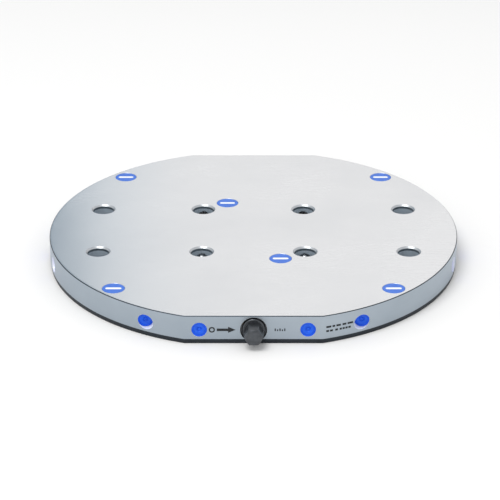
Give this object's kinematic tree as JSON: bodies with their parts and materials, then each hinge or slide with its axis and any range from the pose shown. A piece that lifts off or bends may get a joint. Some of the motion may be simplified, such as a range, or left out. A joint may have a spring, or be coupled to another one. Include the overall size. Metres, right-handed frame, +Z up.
{
  "type": "zero-point clamping base plate",
  "caption": "Round steel zero-point base plate: a hex spindle on its front flat drives wedges and pins that clamp studs in a square grid of bores.",
  "frame": {"origin": "centre of the underside, where the plate lies on the machine table", "axes": "+Z up out of the clamping face, +Y to the back flat, -Y out of the front flat along the spindle, +X to the right"},
  "size_m": [0.384, 0.3805, 0.027],
  "materials": {
    "ground_steel": "ground and plated, satin",
    "blue_cap": "moulded, satin",
    "blue_plug": "moulded, semi-gloss",
    "black_steel": "black oxide",
    "hard_steel": "hardened and ground",
    "bronze": "turned",
    "spring_steel": "drawn wire or stamped",
    "seal_rubber": "matt"
  },
  "bodies": {
    "plate": {"base_plate": "ground_steel", "screw_cap_front_left": "blue_cap", "screw_cap_front_right": "blue_cap", "screw_cap_rear_left": "blue_cap", "screw_cap_rear_right": "blue_cap", "screw_cap_inner_front": "blue_cap", "screw_cap_inner_rear": "blue_cap", "plug_rear_right_inner": "blue_plug", "plug_rear_right_outer": "blue_plug", "plug_right_rear": "blue_plug", "plug_front_right_inner": "blue_plug", "plug_front_right_outer": "blue_plug", "plug_right_front": "blue_plug", "plug_right_middle": "blue_plug", "plug_rear_left_inner": "blue_plug", "plug_rear_left_outer": "blue_plug", "plug_left_rear": "blue_plug", "plug_front_left_inner": "blue_plug", "plug_front_left_outer": "blue_plug", "plug_left_front": "blue_plug", "plug_left_middle": "blue_plug", "gland_bush": "black_steel", "thrust_washer": "bronze", "seal_ring": "seal_rubber", "guide_bush_inner_right_rear": "hard_steel", "guide_bush_inner_right_front": "hard_steel", "guide_bush_inner_left_rear": "hard_steel", "guide_bush_inner_left_front": "hard_steel", "guide_bush_outer_right_rear": "hard_steel", "guide_bush_outer_right_front": "hard_steel", "guide_bush_outer_left_rear": "hard_steel", "guide_bush_outer_left_front": "hard_steel", "return_spring_inner_right_rear": "spring_steel", "return_spring_inner_right_front": "spring_steel", "return_spring_inner_left_rear": "spring_steel", "return_spring_inner_left_front": "spring_steel", "return_spring_outer_right_rear": "spring_steel", "return_spring_outer_right_front": "spring_steel", "return_spring_outer_left_rear": "spring_steel", "return_spring_outer_left_front": "spring_steel"},
    "spindle": {"spindle": "black_steel", "retaining_ring": "spring_steel"},
    "drive_slide": {"drive_slide": "hard_steel"},
    "cross_rod_right": {"cross_rod_right": "hard_steel"},
    "cross_rod_left": {"cross_rod_left": "hard_steel"},
    "transfer_rod_right_rear": {"transfer_rod_right_rear": "hard_steel"},
    "transfer_rod_right_front": {"transfer_rod_right_front": "hard_steel"},
    "transfer_rod_left_rear": {"transfer_rod_left_rear": "hard_steel"},
    "transfer_rod_left_front": {"transfer_rod_left_front": "hard_steel"},
    "clamp_pin_inner_right_rear": {"clamp_pin_inner_right_rear": "hard_steel"},
    "clamp_pin_inner_right_front": {"clamp_pin_inner_right_front": "hard_steel"},
    "clamp_pin_inner_left_rear": {"clamp_pin_inner_left_rear": "hard_steel"},
    "clamp_pin_inner_left_front": {"clamp_pin_inner_left_front": "hard_steel"},
    "clamp_pin_outer_right_rear": {"clamp_pin_outer_right_rear": "hard_steel"},
    "clamp_pin_outer_right_front": {"clamp_pin_outer_right_front": "hard_steel"},
    "clamp_pin_outer_left_rear": {"clamp_pin_outer_left_rear": "hard_steel"},
    "clamp_pin_outer_left_front": {"clamp_pin_outer_left_front": "hard_steel"}
  },
  "joints": [
    {"name": "spindle_turn", "type": "hinge", "parent": "plate", "child": "spindle", "pos_m": [0, -0.182, 0.0135], "axis": [0, 1, 0], "range_deg": [0, 1800]},
    {"name": "drive_slide_travel", "type": "slide", "parent": "plate", "child": "drive_slide", "axis": [0, -1, 0], "range_m": [0, 0.01]},
    {"name": "cross_rod_right_travel", "type": "slide", "parent": "plate", "child": "cross_rod_right", "axis": [1, 0, 0], "range_m": [0, 0.005]},
    {"name": "cross_rod_left_travel", "type": "slide", "parent": "plate", "child": "cross_rod_left", "axis": [-1, 0, 0], "range_m": [0, 0.005]},
    {"name": "transfer_rod_right_rear_travel", "type": "slide", "parent": "plate", "child": "transfer_rod_right_rear", "axis": [0, 1, 0], "range_m": [0, 0.003]},
    {"name": "transfer_rod_right_front_travel", "type": "slide", "parent": "plate", "child": "transfer_rod_right_front", "axis": [0, -1, 0], "range_m": [0, 0.003]},
    {"name": "transfer_rod_left_rear_travel", "type": "slide", "parent": "plate", "child": "transfer_rod_left_rear", "axis": [0, 1, 0], "range_m": [0, 0.003]},
    {"name": "transfer_rod_left_front_travel", "type": "slide", "parent": "plate", "child": "transfer_rod_left_front", "axis": [0, -1, 0], "range_m": [0, 0.003]},
    {"name": "clamp_pin_inner_right_rear_travel", "type": "slide", "parent": "plate", "child": "clamp_pin_inner_right_rear", "axis": [0, 1, 0], "range_m": [0, 0.003], "deforming": ["return_spring_inner_right_rear"]},
    {"name": "clamp_pin_inner_right_front_travel", "type": "slide", "parent": "plate", "child": "clamp_pin_inner_right_front", "axis": [0, -1, 0], "range_m": [0, 0.003], "deforming": ["return_spring_inner_right_front"]},
    {"name": "clamp_pin_inner_left_rear_travel", "type": "slide", "parent": "plate", "child": "clamp_pin_inner_left_rear", "axis": [0, 1, 0], "range_m": [0, 0.003], "deforming": ["return_spring_inner_left_rear"]},
    {"name": "clamp_pin_inner_left_front_travel", "type": "slide", "parent": "plate", "child": "clamp_pin_inner_left_front", "axis": [0, -1, 0], "range_m": [0, 0.003], "deforming": ["return_spring_inner_left_front"]},
    {"name": "clamp_pin_outer_right_rear_travel", "type": "slide", "parent": "plate", "child": "clamp_pin_outer_right_rear", "axis": [1, 0, 0], "range_m": [0, 0.003], "deforming": ["return_spring_outer_right_rear"]},
    {"name": "clamp_pin_outer_right_front_travel", "type": "slide", "parent": "plate", "child": "clamp_pin_outer_right_front", "axis": [1, 0, 0], "range_m": [0, 0.003], "deforming": ["return_spring_outer_right_front"]},
    {"name": "clamp_pin_outer_left_rear_travel", "type": "slide", "parent": "plate", "child": "clamp_pin_outer_left_rear", "axis": [-1, 0, 0], "range_m": [0, 0.003], "deforming": ["return_spring_outer_left_rear"]},
    {"name": "clamp_pin_outer_left_front_travel", "type": "slide", "parent": "plate", "child": "clamp_pin_outer_left_front", "axis": [-1, 0, 0], "range_m": [0, 0.003], "deforming": ["return_spring_outer_left_front"]}
  ],
  "couplings": [
    {"joint": "spindle_turn", "follows": "drive_slide_travel", "rad_per_m": 3141.6},
    {"joint": "cross_rod_right_travel", "follows": "drive_slide_travel", "ratio": 0.5},
    {"joint": "cross_rod_left_travel", "follows": "drive_slide_travel", "ratio": 0.5},
    {"joint": "transfer_rod_right_rear_travel", "follows": "drive_slide_travel", "ratio": 0.3},
    {"joint": "transfer_rod_right_front_travel", "follows": "drive_slide_travel", "ratio": 0.3},
    {"joint": "transfer_rod_left_rear_travel", "follows": "drive_slide_travel", "ratio": 0.3},
    {"joint": "transfer_rod_left_front_travel", "follows": "drive_slide_travel", "ratio": 0.3},
    {"joint": "clamp_pin_inner_right_rear_travel", "follows": "drive_slide_travel", "ratio": 0.3},
    {"joint": "clamp_pin_inner_right_front_travel", "follows": "drive_slide_travel", "ratio": 0.3},
    {"joint": "clamp_pin_inner_left_rear_travel", "follows": "drive_slide_travel", "ratio": 0.3},
    {"joint": "clamp_pin_inner_left_front_travel", "follows": "drive_slide_travel", "ratio": 0.3},
    {"joint": "clamp_pin_outer_right_rear_travel", "follows": "drive_slide_travel", "ratio": 0.3},
    {"joint": "clamp_pin_outer_right_front_travel", "follows": "drive_slide_travel", "ratio": 0.3},
    {"joint": "clamp_pin_outer_left_rear_travel", "follows": "drive_slide_travel", "ratio": 0.3},
    {"joint": "clamp_pin_outer_left_front_travel", "follows": "drive_slide_travel", "ratio": 0.3}
  ]
}
